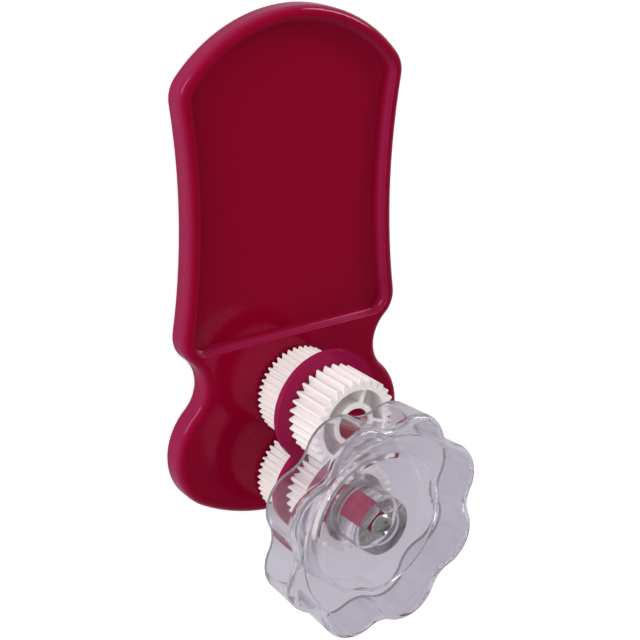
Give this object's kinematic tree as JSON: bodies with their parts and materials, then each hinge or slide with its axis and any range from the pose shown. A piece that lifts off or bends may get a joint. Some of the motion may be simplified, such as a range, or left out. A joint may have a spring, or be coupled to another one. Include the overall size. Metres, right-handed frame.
{
  "type": "paper crimper",
  "caption": "Hand-turned crimper for paper strips: a handled plate carries fine and coarse pairs of meshed gears, turned by a clear scalloped knob.",
  "frame": {"origin": "on the drive axle's axis in the plane of the plate's rear face", "axes": "+X across the plate, +Y from the drive axle along the handle, +Z along the axles from the plate towards the knob"},
  "size_m": [0.0734, 0.1577, 0.0486],
  "materials": {
    "crimson_plastic": "glossy moulded",
    "white_plastic": "satin moulded",
    "clear_plastic": "clear polished",
    "plated_steel": "bright plated"
  },
  "bodies": {
    "base": {"base_shell": "crimson_plastic", "idler_axle": "crimson_plastic", "divider_plate": "crimson_plastic"},
    "drive": {"drive_shaft": "crimson_plastic", "fine_drive_gear": "white_plastic", "coarse_drive_gear": "white_plastic", "knob": "clear_plastic", "knob_screw": "plated_steel"},
    "fine_idler": {"fine_idler_gear": "white_plastic"},
    "coarse_idler": {"coarse_idler_gear": "white_plastic"}
  },
  "joints": [
    {"name": "drive_spin", "type": "hinge", "parent": "base", "child": "drive", "pos_m": [0, 0, 0], "axis": [0, 0, 1], "continuous": true},
    {"name": "fine_idler_spin", "type": "hinge", "parent": "base", "child": "fine_idler", "pos_m": [0, 0.024, 0], "axis": [0, 0, 1], "continuous": true},
    {"name": "coarse_idler_spin", "type": "hinge", "parent": "base", "child": "coarse_idler", "pos_m": [0, 0.024, 0], "axis": [0, 0, 1], "continuous": true}
  ],
  "couplings": [
    {"joint": "fine_idler_spin", "follows": "drive_spin", "ratio": -1},
    {"joint": "coarse_idler_spin", "follows": "drive_spin", "ratio": -1}
  ]
}
